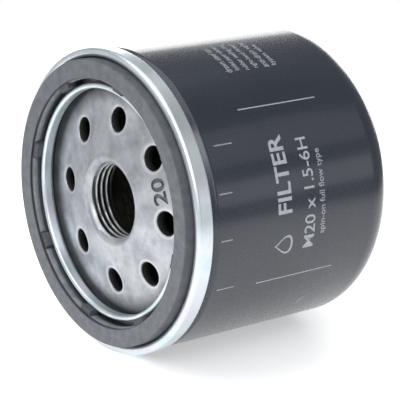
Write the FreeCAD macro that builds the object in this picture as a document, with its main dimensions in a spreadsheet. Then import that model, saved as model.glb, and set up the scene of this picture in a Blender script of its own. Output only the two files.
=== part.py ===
import FreeCAD, Part
import math
import os
import re
import Sketcher

# Spin-on engine oil filter, lying on its side.
# The axis runs along +Y, from the gasket's sealing face at y = 0 to the closed end of the can.
# The origin is the centre of the sealing face.  Outlines of turned pieces are given as
# (radius, depth) pairs, where depth is the distance behind the sealing face.

doc = FreeCAD.newDocument("OilFilter")
sheet = doc.addObject("Spreadsheet::Sheet", "Sizes")

# Driving dimensions in millimetres and degrees.  A "_y" name is a depth behind the sealing face.
SIZES = {
    # sealing gasket
    "gasket_width": 4.5,
    "gasket_height": 5.5,
    "gasket_edge_round": 0.4,
    "nib_count": 8,
    "nib_width": 3.9,
    "nib_top_y": 1.0,
    "nib_phase": 32.0,
    "nib_gap": 0.1,
    # seaming lid, pressed from sheet
    "lid_sheet": 0.45,
    "groove_side_gap": 0.25,
    "lip_crest_y": 2.2,
    "lip_width": 1.4,
    "groove_inner_gap": 1.5,
    "lip_crest_round": 0.63,
    "hem_length": 2.4,
    "seam_step": 0.75,
    "seam_width": 2.25,
    "seam_crest_y": 2.1,
    "seam_bottom_y": 6.4,
    "seam_crown_round": 1.0,
    "fold_gap": 0.05,
    "bend_round": 0.35,
    # canister, drawn from sheet
    "can_od": 74.5,
    "can_sheet": 0.45,
    "can_end_y": 64.0,
    "can_corner_round": 8.0,
    "shoulder_start_y": 7.0,
    "shoulder_length": 1.3,
    "hook_length": 2.7,
    # tapping plate
    "thread_major": 20.0,
    "thread_pitch": 1.5,
    "plate_thick": 3.0,
    "plate_slope": 11.5,
    "plate_rim_gap": 1.7,
    "plate_edge_round": 0.8,
    "dish_d": 46.4,
    "dish_round": 7.0,
    "inlet_circle_d": 41.2,
    "inlet_hole_d": 6.0,
    "inlet_count": 8,
    "inlet_phase": 42.0,
    "hub_wall": 2.75,
    "hub_reach": 1.85,
    "hub_mouth_round": 2.0,
    # anti-drain valve
    "collar_wall": 2.0,
    "collar_foot": 3.7,
    "collar_top_gap": 0.2,
    "collar_step": 0.6,
    "flap_run_gap": 0.1,
    "flap_thick": 1.2,
    "flap_root_thick": 1.44,
    "flap_lip_width": 1.8,
    "flap_lip_chamfer": 0.3,
    "flap_root_drop": 2.05,
    "flap_lip_gap": 0.1,
    "flap_lip_height": 1.1,
    "flap_margin": 3.0,
    # filter element
    "cap_sheet": 0.5,
    "cap_room": 5.3,
    "cap_skirt": 3.5,
    "cap_mouth_step": 0.7,
    "tube_wall": 0.5,
    "spring_room": 11.0,
    "potting_depth": 1.5,
    "pleat_count": 40,
    "pleat_inset": 0.9,
    "pleat_stand_off": 0.7,
    "paper": 0.5,
    "tube_hole_d": 3.0,
    "tube_hole_rows": 6,
    "tube_hole_columns": 5,
    "clip_sheet": 0.35,
    "clip_leg": 3.0,
    "clip_gap": 0.05,
    "clip_end_gap": 1.0,
    "bead_count": 2,
    "bead_width": 1.6,
    "bead_height": 0.6,
    "bead_opening": 16.0,
    # bypass valve
    "seat_hole_d": 12.0,
    "disc_d": 16.0,
    "disc_thick": 0.8,
    "seal_thick": 1.1,
    "seal_gap": 0.1,
    "seal_overhang": 0.3,
    "stem_d": 4.0,
    "stem_gap": 0.1,
    "stem_tail": 4.0,
    "cage_gap": 0.9,
    "cage_sheet": 0.6,
    "cage_flange": 1.5,
    "cage_depth": 12.0,
    "cage_window": 9.0,
    "cage_foot": 1.5,
    "valve_wire": 0.9,
    "valve_coil_d": 11.4,
    "valve_turns": 4.5,
    # element support spring
    "support_wire": 1.5,
    "support_coil_d": 32.0,
    "support_turns": 2.5,
    "spring_seat_gap": 0.05,
}

for row, (alias, number) in enumerate(SIZES.items(), start=1):
    sheet.set(f"A{row}", alias)
    sheet.set(f"B{row}", str(number))
    sheet.setAlias(f"B{row}", alias)
doc.recompute()

# Sizes that follow from the driving ones.  Each is an expression in the sheet's aliases
# and in the names above it.
DERIVED = {
    "can_r": "can_od / 2",
    "seam_r": "can_r + seam_step",
    "groove_outer_r": "seam_r - seam_width",
    "gasket_outer_r": "groove_outer_r - groove_side_gap",
    "gasket_inner_r": "gasket_outer_r - gasket_width",
    "lip_outer_r": "gasket_inner_r - groove_inner_gap",
    "lip_inner_r": "lip_outer_r - lip_width",
    "lip_foot_y": "lip_crest_y + hem_length",
    "plate_top_y": "gasket_height + lid_sheet",
    "plate_under_y": "plate_top_y + plate_thick",
    "neck_inner_r": "groove_outer_r + lid_sheet",
    "neck_outer_r": "neck_inner_r + can_sheet",
    "hook_outer_r": "seam_r - lid_sheet - fold_gap",
    "hook_top_y": "seam_crest_y + lid_sheet + fold_gap",
    "hook_end_y": "hook_top_y + hook_length",
    "curl_top_y": "seam_bottom_y - lid_sheet",
    "can_floor_y": "can_end_y - can_sheet",
    "bore_r": "(thread_major - 1.0825 * thread_pitch) / 2",
    "inlet_circle_r": "inlet_circle_d / 2",
    "plate_r": "neck_inner_r - plate_rim_gap",
    "dish_r": "dish_d / 2",
    "hub_r": "thread_major / 2 + hub_wall",
    "hub_end_y": "plate_under_y + hub_reach",
    "plate_drop": "plate_thick / cos(plate_slope * 1 deg)",
    "slope": "tan(plate_slope * 1 deg)",
    "dish_under_r": "dish_r - (plate_drop - plate_thick) / slope",
    "collar_r": "hub_r + collar_wall",
    "collar_top_y": "plate_top_y - (dish_r - collar_r) * slope + plate_drop + collar_top_gap",
    "collar_mouth_r": "thread_major / 2 + collar_step",
    "element_y": "hub_end_y + collar_foot",
    "flap_root_r": "collar_r + flap_run_gap",
    "flap_root_y": "plate_under_y + flap_root_drop",
    "flap_lip_r": "inlet_circle_r + inlet_hole_d / 2 + flap_margin",
    "flap_lip_y": "plate_under_y + flap_lip_gap",
    "flap_lip_foot_y": "flap_lip_y + flap_lip_height",
    "cap_r": "can_r - can_sheet - cap_room",
    "cap_mouth_r": "collar_mouth_r + cap_mouth_step",
    "tube_inner_r": "cap_mouth_r + cap_sheet",
    "tube_outer_r": "tube_inner_r + tube_wall",
    "pleat_outer_r": "cap_r - pleat_inset",
    "pleat_inner_r": "tube_outer_r + pleat_stand_off",
    "element_end_y": "can_end_y - spring_room",
    "lower_bed_y": "element_y + cap_sheet",
    "upper_bed_y": "element_end_y - cap_sheet",
    "media_start_y": "lower_bed_y + potting_depth",
    "media_end_y": "upper_bed_y - potting_depth",
    "disc_top_y": "upper_bed_y - seal_gap - seal_thick",
    "disc_bottom_y": "disc_top_y - disc_thick",
    "cage_inner_r": "disc_d / 2 + cage_gap",
    "cage_outer_r": "cage_inner_r + cage_sheet",
    "cage_foot_y": "upper_bed_y - cage_depth",
    "cage_foot_under_y": "cage_foot_y - cage_sheet",
}


def expand(text):
    """An expression with every derived name written out in the sheet's own aliases."""
    def full(match):
        word = match.group(0)
        if word in DERIVED:
            return "(" + expand(DERIVED[word]) + ")"
        return "Sizes." + word if word in SIZES else word
    return re.sub(r"[A-Za-z_]\w*", full, text)


def number(text):
    """The present value of an expression."""
    found = sheet.evalExpression(expand(text))
    return float(getattr(found, "Value", found))


def origin_part(body, role):
    """One of a body's own origin planes or axes."""
    return next(item for item in body.Origin.OriginFeatures if item.Role == role)


def new_body(label):
    body = doc.addObject("PartDesign::Body", label)
    body.Label = label
    body.Placement = FreeCAD.Placement()
    return body


def new_sketch(body, name, role):
    sketch = body.newObject("Sketcher::SketchObject", name)
    sketch.AttachmentSupport = (origin_part(body, role), [""])
    sketch.MapMode = "FlatFace"
    return sketch


def pin_point(sketch, geometry, end, across, along):
    """Ties one point of a sketch to the two expressions that give its place."""
    for kind, text, axis in (("DistanceX", across, -2), ("DistanceY", along, -1)):
        if text == "0":
            sketch.addConstraint(Sketcher.Constraint("PointOnObject", geometry, end, axis))
            continue
        index = sketch.addConstraint(Sketcher.Constraint(kind, -1, 1, geometry, end, number(text)))
        sketch.setExpression(f"Constraints[{index}]", expand(text))


def draw_outline(sketch, corners):
    """A closed outline of straight sides through corners given as pairs of expressions."""
    points = [FreeCAD.Vector(number(across), number(along), 0) for across, along in corners]
    first = sketch.GeometryCount
    count = len(points)
    for index in range(count):
        sketch.addGeometry(Part.LineSegment(points[index], points[(index + 1) % count]), False)
    for index in range(count):
        following = first + (index + 1) % count
        sketch.addConstraint(Sketcher.Constraint("Coincident", first + index, 2, following, 1))
        pin_point(sketch, first + index, 1, *corners[index])


def draw_circle(sketch, across, along, diameter):
    centre = FreeCAD.Vector(number(across), number(along), 0)
    index = sketch.addGeometry(Part.Circle(centre, FreeCAD.Vector(0, 0, 1), number(diameter) / 2), False)
    size = sketch.addConstraint(Sketcher.Constraint("Diameter", index, number(diameter)))
    sketch.setExpression(f"Constraints[{size}]", expand(diameter))
    pin_point(sketch, index, 3, across, along)


def turned(label, corners):
    """A body turned about the filter's axis from a (radius, depth) outline."""
    body = new_body(label)
    sketch = new_sketch(body, label + "_outline", "XY_Plane")
    draw_outline(sketch, corners)
    turn = body.newObject("PartDesign::Revolution", label + "_turn")
    turn.Profile = sketch
    turn.ReferenceAxis = (sketch, ["V_Axis"])
    turn.Angle = 360
    sketch.Visibility = False
    doc.recompute()
    return body


def round_rings(body, radius, *places):
    """Rounds the ring edges that lie at the given (radius, depth) places."""
    wanted = [(number(across), number(along)) for across, along in places]
    names = []
    for index, edge in enumerate(body.Tip.Shape.Edges, start=1):
        if not isinstance(edge.Curve, Part.Circle):
            continue
        ring = (edge.Curve.Radius, edge.Curve.Center.y)
        if any(math.dist(ring, place) < 1e-3 for place in wanted):
            names.append(f"Edge{index}")
    if len(names) < len(places):
        raise RuntimeError(f"{body.Label}: {len(names)} edges found for {len(places)} roundings")
    before = body.Tip
    fillet = body.newObject("PartDesign::Fillet", body.Label + "_round")
    fillet.Base = (before, names)
    fillet.setExpression("Radius", expand(radius))
    doc.recompute()


def cut_through(body, name, role, draw):
    """A pocket that goes right through the body, square to one of its origin planes."""
    sketch = new_sketch(body, name + "_outline", role)
    draw(sketch)
    doc.recompute()
    before = body.Shape.Volume
    pocket = body.newObject("PartDesign::Pocket", name)
    pocket.Profile = sketch
    pocket.Type = "ThroughAll"
    pocket.Midplane = True
    sketch.Visibility = False
    doc.recompute()
    if body.Shape.Volume > before - 1e-3:
        raise RuntimeError(f"{name} cuts nothing")
    return pocket


def around_axis(body, feature, count, angle):
    """Repeats a feature evenly about the filter's axis."""
    pattern = body.newObject("PartDesign::PolarPattern", feature.Name + "_pattern")
    pattern.Originals = [feature]
    pattern.Axis = (origin_part(body, "Y_Axis"), [""])
    pattern.Angle = angle
    pattern.setExpression("Occurrences", expand(count))
    body.Tip = pattern
    doc.recompute()


def sealing_gasket():
    """Flat rubber ring with nibs on its inner side that hold it in the lid's groove."""
    outer = "gasket_outer_r"
    inner = "gasket_inner_r"
    body = turned("sealing_gasket", [
        (inner, "0"), (outer, "0"), (outer, "gasket_height"), (inner, "gasket_height")])
    round_rings(body, "gasket_edge_round", (inner, "0"), (outer, "0"))
    tip = "lip_outer_r + nib_gap"
    root = inner + " + gasket_edge_round"
    sketch = new_sketch(body, "nib_outline", "XZ_Plane")
    sketch.setExpression("AttachmentOffset.Base.z", expand("-nib_top_y"))
    sketch.setExpression("AttachmentOffset.Rotation.Angle", expand("nib_phase"))
    draw_outline(sketch, [
        (tip, "-nib_width / 2"), (root, "-nib_width / 2"), (root, "nib_width / 2"), (tip, "nib_width / 2")])
    nib = body.newObject("PartDesign::Pad", "nib")
    nib.Profile = sketch
    nib.Reversed = True
    nib.setExpression("Length", expand("gasket_height - nib_top_y"))
    sketch.Visibility = False
    doc.recompute()
    around_axis(body, nib, "nib_count", 360)


def seaming_lid():
    """Pressed ring: hemmed lip, gasket groove and the roll that grips the can."""
    body = turned("seaming_lid", [
        ("lip_inner_r", "lip_foot_y"),
        ("lip_inner_r", "lip_crest_y"),
        ("lip_outer_r", "lip_crest_y"),
        ("lip_outer_r", "gasket_height"),
        ("groove_outer_r", "gasket_height"),
        ("groove_outer_r", "seam_crest_y"),
        ("seam_r", "seam_crest_y"),
        ("seam_r", "seam_bottom_y"),
        ("neck_outer_r + fold_gap", "seam_bottom_y"),
        ("neck_outer_r + fold_gap", "curl_top_y"),
        ("seam_r - lid_sheet", "curl_top_y"),
        ("seam_r - lid_sheet", "seam_crest_y + lid_sheet"),
        ("neck_inner_r", "seam_crest_y + lid_sheet"),
        ("neck_inner_r", "plate_top_y"),
        ("lip_outer_r - lid_sheet", "plate_top_y"),
        ("lip_outer_r - lid_sheet", "lip_crest_y + lid_sheet"),
        ("lip_inner_r + lid_sheet", "lip_crest_y + lid_sheet"),
        ("lip_inner_r + lid_sheet", "lip_foot_y")])
    round_rings(body, "seam_crown_round", ("seam_r", "seam_crest_y"), ("groove_outer_r", "seam_crest_y"))
    round_rings(body, "lip_crest_round", ("lip_inner_r", "lip_crest_y"), ("lip_outer_r", "lip_crest_y"))
    round_rings(
        body, "bend_round",
        ("seam_r", "seam_bottom_y"),
        ("neck_inner_r", "plate_top_y"),
        ("lip_outer_r - lid_sheet", "plate_top_y"))


def canister():
    """Drawn steel can with a necked shoulder and an edge hooked into the lid's roll."""
    body = turned("canister", [
        ("neck_inner_r", "hook_top_y"),
        ("hook_outer_r", "hook_top_y"),
        ("hook_outer_r", "hook_end_y"),
        ("hook_outer_r - can_sheet", "hook_end_y"),
        ("hook_outer_r - can_sheet", "hook_top_y + can_sheet"),
        ("neck_outer_r", "hook_top_y + can_sheet"),
        ("neck_outer_r", "shoulder_start_y"),
        ("can_r", "shoulder_start_y + shoulder_length"),
        ("can_r", "can_end_y"),
        ("0", "can_end_y"),
        ("0", "can_floor_y"),
        ("can_r - can_sheet", "can_floor_y"),
        ("can_r - can_sheet", "shoulder_start_y + shoulder_length"),
        ("neck_inner_r", "shoulder_start_y")])
    round_rings(body, "can_corner_round", ("can_r", "can_end_y"))
    round_rings(body, "can_corner_round - can_sheet", ("can_r - can_sheet", "can_floor_y"))
    round_rings(body, "can_sheet", ("hook_outer_r", "hook_top_y"))
    round_rings(body, "shoulder_length", ("can_r", "shoulder_start_y + shoulder_length"))


def seam_compound():
    """Sealing compound that fills the end of the double seam."""
    turned("seam_compound", [
        ("neck_outer_r + fold_gap", "hook_end_y + fold_gap"),
        ("hook_outer_r", "hook_end_y + fold_gap"),
        ("hook_outer_r", "curl_top_y - fold_gap"),
        ("neck_outer_r + fold_gap", "curl_top_y - fold_gap")])


def tapping_plate():
    """Thick dished steel plate with a threaded hub and a ring of oil inlet holes."""
    cone_at = "plate_top_y - (dish_r - {0}) * slope"
    body = turned("tapping_plate", [
        ("bore_r", cone_at.format("bore_r")),
        ("dish_r", "plate_top_y"),
        ("plate_r", "plate_top_y"),
        ("plate_r", "plate_under_y"),
        ("dish_under_r", "plate_under_y"),
        ("hub_r", cone_at.format("hub_r") + " + plate_drop"),
        ("hub_r", "hub_end_y"),
        ("bore_r", "hub_end_y")])
    round_rings(body, "hub_mouth_round", ("bore_r", cone_at.format("bore_r")))
    round_rings(body, "dish_round", ("dish_r", "plate_top_y"))
    round_rings(body, "plate_edge_round", ("plate_r", "plate_under_y"))
    round_rings(body, "bend_round", ("hub_r", "hub_end_y"), ("bore_r", "hub_end_y"))
    inlet = cut_through(body, "inlet_hole", "XZ_Plane", lambda sketch: draw_circle(
        sketch, "inlet_circle_r * cos(inlet_phase * 1 deg)",
        "inlet_circle_r * sin(inlet_phase * 1 deg)", "inlet_hole_d"))
    around_axis(body, inlet, "inlet_count", 360)


def anti_drain_collar():
    """Fixed root of the rubber anti-drain valve, squeezed between the hub and the element."""
    turned("anti_drain_collar", [
        ("hub_r", "collar_top_y"),
        ("collar_r", "collar_top_y"),
        ("collar_r", "element_y"),
        ("collar_mouth_r", "element_y"),
        ("collar_mouth_r", "hub_end_y"),
        ("hub_r", "hub_end_y")])


def anti_drain_flap():
    """Flexible skirt of the anti-drain valve, which covers the inlet holes from behind."""
    turned("anti_drain_flap", [
        ("flap_root_r", "flap_root_y"),
        ("flap_lip_r - flap_lip_width", "flap_lip_foot_y"),
        ("flap_lip_r - flap_thick / 2", "flap_lip_y"),
        ("flap_lip_r", "flap_lip_y + flap_lip_chamfer"),
        ("flap_lip_r - flap_thick / 2", "flap_lip_foot_y + flap_thick"),
        ("flap_root_r", "flap_root_y + flap_root_thick")])


def lower_end_cap():
    """Steel cap on the threaded side of the element, with a sleeve that centres the tube."""
    turned("lower_end_cap", [
        ("cap_mouth_r", "element_y"),
        ("cap_r", "element_y"),
        ("cap_r", "element_y + cap_skirt"),
        ("cap_r - cap_sheet", "element_y + cap_skirt"),
        ("cap_r - cap_sheet", "lower_bed_y"),
        ("tube_inner_r", "lower_bed_y"),
        ("tube_inner_r", "element_y + cap_skirt"),
        ("cap_mouth_r", "element_y + cap_skirt")])


def upper_end_cap():
    """Steel cap on the closed side of the element; its middle hole is the bypass valve's seat."""
    turned("upper_end_cap", [
        ("seat_hole_d / 2", "element_end_y"),
        ("cap_r", "element_end_y"),
        ("cap_r", "element_end_y - cap_skirt"),
        ("cap_r - cap_sheet", "element_end_y - cap_skirt"),
        ("cap_r - cap_sheet", "upper_bed_y"),
        ("seat_hole_d / 2", "upper_bed_y")])


def potting(label, start, end):
    """Bed of adhesive that closes one end of the pleats."""
    turned(label, [
        ("tube_outer_r", start), ("cap_r - cap_sheet", start),
        ("cap_r - cap_sheet", end), ("tube_outer_r", end)])


def centre_tube():
    """Perforated steel tube that the pleats lean on."""
    body = turned("centre_tube", [
        ("tube_inner_r", "lower_bed_y"), ("tube_outer_r", "lower_bed_y"),
        ("tube_outer_r", "upper_bed_y"), ("tube_inner_r", "upper_bed_y")])
    rows = SIZES["tube_hole_rows"]
    pitch = "(media_end_y - media_start_y) / tube_hole_rows"

    def column(sketch):
        for row in range(rows):
            draw_circle(sketch, "0", f"media_start_y + {pitch} * {row + 0.5}", "tube_hole_d")

    holes = cut_through(body, "tube_hole", "XY_Plane", column)
    half_turn = 180.0
    columns = SIZES["tube_hole_columns"]
    around_axis(body, holes, "tube_hole_columns", half_turn * (columns - 1) / columns)


def solid_piece(label, shape):
    """A sub-part whose outline comes from a formula, kept as a plain shape."""
    piece = doc.addObject("Part::Feature", label)
    piece.Label = label
    piece.Shape = shape
    piece.Placement = FreeCAD.Placement()
    return piece


def on_circle(radius, angle, depth):
    return FreeCAD.Vector(radius * math.cos(angle), depth, radius * math.sin(angle))


def pleated_media():
    """Filter paper folded into a star.  One fold is a tip on the outside and a root inside."""
    count = int(number("pleat_count"))
    outer = number("pleat_outer_r")
    inner = number("pleat_inner_r")
    paper = number("paper")
    start = number("media_start_y")
    half_pitch = math.pi / count
    tip = paper / outer
    root = paper / inner
    skin = []
    lining = []
    for fold in range(count):
        at = 2 * half_pitch * fold
        skin += [on_circle(outer, at - tip, start), on_circle(outer, at + tip, start),
                 on_circle(inner + paper, at + half_pitch, start)]
        lining += [on_circle(outer - paper, at, start),
                   on_circle(inner, at + half_pitch - root / 2, start),
                   on_circle(inner, at + half_pitch + root / 2, start)]
    faces = [Part.Face(Part.makePolygon(ring + ring[:1])) for ring in (skin, lining)]
    band = faces[0].cut(faces[1])
    solid_piece("pleated_media", band.extrude(FreeCAD.Vector(0, number("media_end_y - media_start_y"), 0)))


def media_seam_clip():
    """Crimped metal channel that closes the pleat where the ends of the paper meet."""
    outer = number("pleat_outer_r")
    inner = number("pleat_inner_r + paper")
    tip = number("paper") / outer
    reach = number("clip_leg") / (outer - inner)
    low = number("element_y + cap_skirt + clip_end_gap")
    high = number("element_end_y - cap_skirt - clip_end_gap")
    # the pleat's wall runs straight from its tip to its root
    tip_point = on_circle(outer, tip, low)
    root_point = on_circle(inner, math.pi / number("pleat_count"), low)
    leg_end = tip_point + (root_point - tip_point) * reach
    across = (root_point - tip_point).cross(FreeCAD.Vector(0, 1, 0)).normalize()
    if across.z < 0:
        across = across * -1
    near = number("clip_gap")
    far = near + number("clip_sheet")
    crown = FreeCAD.Vector(1, 0, 0)
    half = [leg_end + across * near, tip_point + across * near + crown * near,
            leg_end + across * far, tip_point + across * far + crown * far]
    mirror = [FreeCAD.Vector(point.x, point.y, -point.z) for point in half]
    loop = [half[0], half[1], mirror[1], mirror[0], mirror[2], mirror[3], half[3], half[2]]
    face = Part.Face(Part.makePolygon(loop + loop[:1]))
    solid_piece("media_seam_clip", face.extrude(FreeCAD.Vector(0, high - low, 0)))


def pleat_beads():
    """Two beads of hot-melt adhesive round the pleat tips, open where the seam clip passes."""
    beads = []
    inner = number("pleat_outer_r")
    opening = number("bead_opening")
    count = SIZES["bead_count"]
    pitch = number("media_end_y - media_start_y") / (count + 1)
    for step in range(1, count + 1):
        depth = number("media_start_y") + pitch * step - number("bead_width") / 2
        centre = FreeCAD.Vector(0, depth, 0)
        axis = FreeCAD.Vector(0, 1, 0)
        thick = Part.makeCylinder(inner + number("bead_height"), number("bead_width"), centre, axis)
        gap = Part.makeCylinder(inner, number("bead_width"), centre, axis)
        width = inner * math.tan(math.radians(opening / 2))
        slot = Part.makeBox(inner, number("bead_width"), 2 * width, FreeCAD.Vector(inner / 2, depth, -width))
        beads.append(thick.cut(gap).cut(slot))
    solid_piece("pleat_beads", Part.makeCompound(beads))


def bypass_cage():
    """Cup under the upper cap that carries the bypass spring and guides the valve's stem."""
    body = turned("bypass_cage", [
        ("cage_inner_r", "upper_bed_y"),
        ("cage_outer_r + cage_flange", "upper_bed_y"),
        ("cage_outer_r + cage_flange", "upper_bed_y - cage_sheet"),
        ("cage_outer_r", "upper_bed_y - cage_sheet"),
        ("cage_outer_r", "cage_foot_under_y"),
        ("stem_d / 2 + stem_gap", "cage_foot_under_y"),
        ("stem_d / 2 + stem_gap", "cage_foot_y"),
        ("cage_inner_r", "cage_foot_y")])
    top = "upper_bed_y - cage_sheet - cage_foot"
    foot = "cage_foot_y + cage_foot"
    window = cut_through(body, "cage_window_cut", "XY_Plane", lambda sketch: draw_outline(sketch, [
        ("-cage_window / 2", foot), ("cage_window / 2", foot),
        ("cage_window / 2", top), ("-cage_window / 2", top)]))
    around_axis(body, window, "2", 90)


def bypass_disc():
    """Steel valve disc on a stem that slides in the cage."""
    turned("bypass_disc", [
        ("0", "cage_foot_y - stem_tail"),
        ("stem_d / 2", "cage_foot_y - stem_tail"),
        ("stem_d / 2", "disc_bottom_y"),
        ("disc_d / 2", "disc_bottom_y"),
        ("disc_d / 2", "disc_top_y"),
        ("stem_d / 2", "disc_top_y"),
        ("stem_d / 2", "upper_bed_y + cap_sheet / 2"),
        ("0", "upper_bed_y + cap_sheet / 2")])


def bypass_seal():
    """Rubber washer that the disc presses against the seat."""
    turned("bypass_seal", [
        ("stem_d / 2", "disc_top_y"),
        ("disc_d / 2 + seal_overhang", "disc_top_y"),
        ("disc_d / 2 + seal_overhang", "disc_top_y + seal_thick"),
        ("stem_d / 2", "disc_top_y + seal_thick")])


def coil(label, coil_d, wire, start, end, turns):
    """Helical compression spring between two depths."""
    body = new_body(label)
    sketch = new_sketch(body, label + "_wire", "XY_Plane")
    draw_circle(sketch, coil_d + " / 2", f"{start} + {wire} / 2 + spring_seat_gap", wire)
    doc.recompute()
    helix = body.newObject("PartDesign::AdditiveHelix", label + "_helix")
    helix.Profile = sketch
    helix.ReferenceAxis = (sketch, ["V_Axis"])
    helix.Mode = "height-turns-angle"
    helix.setExpression("Height", expand(f"({end}) - ({start}) - {wire} - 2 * spring_seat_gap"))
    helix.setExpression("Turns", expand(turns))
    helix.Angle = 0
    sketch.Visibility = False
    doc.recompute()


sealing_gasket()
seaming_lid()
canister()
seam_compound()
tapping_plate()
anti_drain_collar()
anti_drain_flap()
lower_end_cap()
upper_end_cap()
potting("lower_potting", "lower_bed_y", "media_start_y")
potting("upper_potting", "media_end_y", "upper_bed_y")
centre_tube()
pleated_media()
media_seam_clip()
pleat_beads()
bypass_cage()
bypass_disc()
bypass_seal()
coil("bypass_spring", "valve_coil_d", "valve_wire", "cage_foot_y", "disc_bottom_y", "valve_turns")
coil("support_spring", "support_coil_d", "support_wire", "element_end_y", "can_floor_y", "support_turns")

doc.recompute()

for item in doc.Objects:
    if "Invalid" in item.State or "Error" in item.State:
        raise RuntimeError(f"{item.Label} failed: {item.State}")

pieces = [item for item in doc.Objects if item.TypeId in ("PartDesign::Body", "Part::Feature")]
for piece in pieces:
    if piece.Shape.isNull() or not piece.Shape.isValid() or piece.Shape.Volume <= 0:
        raise RuntimeError(f"{piece.Label} has no valid solid")

os.makedirs("parts", exist_ok=True)
for piece in pieces:
    piece.Shape.exportStep(f"parts/{piece.Label}.step")
    print(f"{piece.Label}: {len(piece.Shape.Solids)} solid(s), {piece.Shape.Volume:.1f} mm3")
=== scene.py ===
import bmesh
import bpy
import numpy as np
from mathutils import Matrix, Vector


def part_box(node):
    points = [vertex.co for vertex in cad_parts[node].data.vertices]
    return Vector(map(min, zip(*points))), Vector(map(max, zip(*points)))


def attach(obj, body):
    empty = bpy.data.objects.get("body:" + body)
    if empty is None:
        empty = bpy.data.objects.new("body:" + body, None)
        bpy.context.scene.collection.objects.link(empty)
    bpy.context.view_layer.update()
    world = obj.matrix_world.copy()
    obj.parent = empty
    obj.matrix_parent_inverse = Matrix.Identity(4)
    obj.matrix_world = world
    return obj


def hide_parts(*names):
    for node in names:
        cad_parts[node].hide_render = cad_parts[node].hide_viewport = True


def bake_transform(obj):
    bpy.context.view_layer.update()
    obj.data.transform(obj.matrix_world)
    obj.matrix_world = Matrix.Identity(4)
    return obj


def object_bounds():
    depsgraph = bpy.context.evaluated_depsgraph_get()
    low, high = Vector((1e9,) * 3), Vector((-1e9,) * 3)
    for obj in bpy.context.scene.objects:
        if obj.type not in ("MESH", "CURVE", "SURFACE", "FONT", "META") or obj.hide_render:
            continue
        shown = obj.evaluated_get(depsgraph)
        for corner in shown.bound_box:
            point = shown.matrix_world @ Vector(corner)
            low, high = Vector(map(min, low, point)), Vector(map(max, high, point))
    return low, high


# Spin-on oil filter lying on its side: the axis runs along +Y from the gasket's face at y = 0.
# A profile is a row of (radius, depth) pairs in mm; an angle is in degrees from +X towards +Z.

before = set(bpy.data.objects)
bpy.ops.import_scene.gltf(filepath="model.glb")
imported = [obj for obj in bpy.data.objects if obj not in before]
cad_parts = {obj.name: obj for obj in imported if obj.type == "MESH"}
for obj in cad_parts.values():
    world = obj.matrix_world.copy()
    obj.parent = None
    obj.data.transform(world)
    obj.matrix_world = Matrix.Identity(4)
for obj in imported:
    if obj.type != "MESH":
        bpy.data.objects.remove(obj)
cadLow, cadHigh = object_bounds()
mm = 0.001
print("frame loaded")


def onAxis(radius, depth, angle):
    # Points at a radius and depth in mm and an angle in radians: x = r cos a, y = depth, z = r sin a, in
    # metres.
    radius, depth, angle = np.broadcast_arrays(radius, depth, angle)
    return np.stack([radius * np.cos(angle), depth, radius * np.sin(angle)], -1) * mm


def fullTurn(columns):
    return np.arange(columns) * 2 * np.pi / columns


def gridFaces(rows, columns, closeRows, closeColumns, start=0):
    # Four-cornered faces between neighbouring rows and columns, wrapped round where a direction is closed.
    down = np.arange(rows if closeRows else rows - 1)[:, None]
    along = np.arange(columns if closeColumns else columns - 1)[None, :]
    nextDown, nextAlong = (down + 1) % rows, (along + 1) % columns
    corners = [
        down * columns + along, down * columns + nextAlong,
        nextDown * columns + nextAlong, nextDown * columns + along]
    return np.stack(np.broadcast_arrays(*corners), -1).reshape(-1, 4) + start


def pointsOf(mesh):
    rows = np.empty(len(mesh.vertices) * 3)
    mesh.vertices.foreach_get("co", rows)
    return rows.reshape(-1, 3)


def setPoints(mesh, points):
    mesh.vertices.foreach_set("co", np.ravel(points))
    return mesh


def paintPoints(mesh, name, values):
    mesh.attributes.new(name, "FLOAT", "POINT").data.foreach_set("value", values.astype(np.float32))


def welded(name, parts):
    # One mesh of all the parts, its doubled points merged and its faces turned outward.
    work = bmesh.new()
    for part in parts:
        work.from_mesh(part)
    bmesh.ops.remove_doubles(work, verts=work.verts, dist=1e-7)
    bmesh.ops.recalc_face_normals(work, faces=work.faces)
    mesh = bpy.data.meshes.new(name)
    work.to_mesh(mesh)
    work.free()
    return mesh


def smoothStep(value):
    value = np.clip(value, 0, 1)
    return value * value * (3 - 2 * value)


def addPiece(name, points, faces, body, slot, sharp=35):
    # A mesh object from points and faces, with its faces turned outward by the sign of its volume.
    points, faces = np.asarray(points, float).reshape(-1, 3), np.asarray(faces)
    first = points[faces[:, 0]]
    volume = sum(
        np.einsum("ij,ij->i", first, np.cross(points[faces[:, a]], points[faces[:, a + 1]])).sum() for a in (1, 2))
    if volume < 0:
        faces = faces[:, ::-1]
    mesh = bpy.data.meshes.new(name)
    mesh.from_pydata(points.tolist(), [], faces.tolist())
    work = bmesh.new()
    work.from_mesh(mesh)
    bmesh.ops.remove_doubles(work, verts=work.verts, dist=2e-7)
    bmesh.ops.dissolve_degenerate(work, edges=work.edges, dist=1e-8)
    work.to_mesh(mesh)
    work.free()
    return finishMesh(name, mesh, body, finishes[slot], sharp)


def finishMesh(name, mesh, body, material, sharp=35):
    mesh.polygons.foreach_set("use_smooth", np.ones(len(mesh.polygons), bool))
    mesh.set_sharp_from_angle(angle=np.radians(sharp))
    mesh.materials.clear()
    mesh.materials.append(material)
    mesh.update()
    piece = bpy.data.objects.new(name, mesh)
    bpy.context.scene.collection.objects.link(piece)
    if body:
        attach(piece, body)
    return piece


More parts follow.
